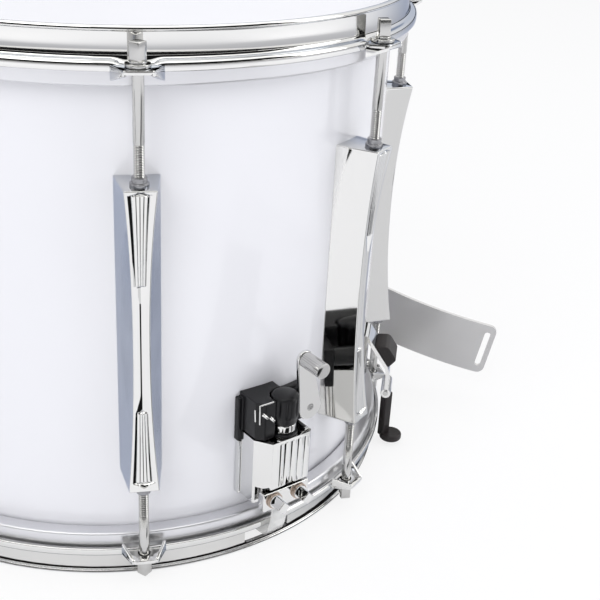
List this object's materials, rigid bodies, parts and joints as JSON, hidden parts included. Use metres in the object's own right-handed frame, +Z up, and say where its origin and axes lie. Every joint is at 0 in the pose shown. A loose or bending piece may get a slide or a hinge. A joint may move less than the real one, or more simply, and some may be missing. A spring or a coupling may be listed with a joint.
{
  "type": "marching snare drum",
  "caption": "Tall marching snare drum with flanged hoops, waisted lugs, side snare strainer, folding leg rest and hinged hook.",
  "frame": {"origin": "centre of the batter head's playing face", "axes": "+Z up along the drum's axis, the first lug on -Y, azimuths counter-clockwise seen from above"},
  "size_m": [0.4924, 0.408, 0.328],
  "materials": {
    "shell": "gloss white covering over ply",
    "film": "coated white film",
    "flesh_hoop": "satin",
    "chrome": "polished plate",
    "steel": "plated, slightly dull",
    "black_plastic": "semi-matt moulded",
    "black_rubber": "matt",
    "satin_aluminium": "satin",
    "strap": "clear film"
  },
  "bodies": {
    "drum": {"shell": "shell", "vent_grommet": "chrome", "batter_film": "film", "batter_flesh_hoop": "flesh_hoop", "batter_hoop": "chrome", "snare_film": "film", "snare_flesh_hoop": "flesh_hoop", "snare_hoop": "chrome", "lug_1": "chrome", "lug_2": "chrome", "lug_3": "chrome", "lug_4": "chrome", "lug_5": "chrome", "lug_6": "chrome", "lug_7": "chrome", "lug_8": "chrome", "batter_rod_1": "steel", "batter_rod_2": "steel", "batter_rod_3": "steel", "batter_rod_4": "steel", "batter_rod_5": "steel", "batter_rod_6": "steel", "batter_rod_7": "steel", "batter_rod_8": "steel", "snare_rod_1": "steel", "snare_rod_2": "steel", "snare_rod_3": "steel", "snare_rod_4": "steel", "snare_rod_5": "steel", "snare_rod_6": "steel", "snare_rod_7": "steel", "snare_rod_8": "steel", "strainer_rail": "chrome", "strainer_base": "black_plastic", "lever_pin": "steel", "butt_body": "chrome", "butt_plate": "chrome", "butt_screw_1": "chrome", "butt_screw_2": "chrome", "snare_wires": "steel", "strainer_strap": "strap", "butt_strap": "strap", "leg_rest_mount": "satin_aluminium", "leg_rest_pin": "steel", "hook_bracket": "chrome", "bumper_pad": "black_rubber", "hook_pin": "steel"},
    "lever": {"throw_lever": "chrome", "lever_grip": "steel"},
    "carriage": {"strainer_housing": "chrome"},
    "knob": {"tension_knob": "black_plastic", "tension_screw": "chrome"},
    "clamp": {"clamp_block": "steel", "clamp_plate": "chrome", "clamp_screw_1": "chrome", "clamp_screw_2": "chrome"},
    "leg_rest": {"leg_rest_plate": "satin_aluminium"},
    "hook": {"hook_arm": "chrome", "hook_sleeve": "black_rubber"}
  },
  "joints": [
    {"name": "throw_off", "type": "hinge", "parent": "drum", "child": "lever", "pos_m": [0.10201, -0.16836, -0.2203], "axis": [-0.4226, 0.9063, 0], "range_deg": [0, 95]},
    {"name": "carriage_drop", "type": "slide", "parent": "drum", "child": "carriage", "axis": [0, 0, -1], "range_m": [0, 0.006]},
    {"name": "snare_tension", "type": "hinge", "parent": "carriage", "child": "knob", "pos_m": [0.08502, -0.17617, -0.2403], "axis": [0, 0, 1], "range_deg": [0, 1800]},
    {"name": "clamp_travel", "type": "slide", "parent": "carriage", "child": "clamp", "axis": [0, 0, -1], "range_m": [0, 0.004]},
    {"name": "leg_rest_fold", "type": "hinge", "parent": "drum", "child": "leg_rest", "pos_m": [0.17572, 0.06396, -0.2278], "axis": [0.1145, -0.1684, 0.979], "range_deg": [0, 145]},
    {"name": "hook_swing", "type": "hinge", "parent": "drum", "child": "hook", "pos_m": [0.18488, -0.06729, -0.2713], "axis": [-0.342, -0.9397, 0], "range_deg": [0, 90]}
  ],
  "couplings": [
    {"joint": "carriage_drop", "follows": "throw_off", "m_per_rad": 0.003618},
    {"joint": "snare_tension", "follows": "clamp_travel", "rad_per_m": 7854}
  ]
}
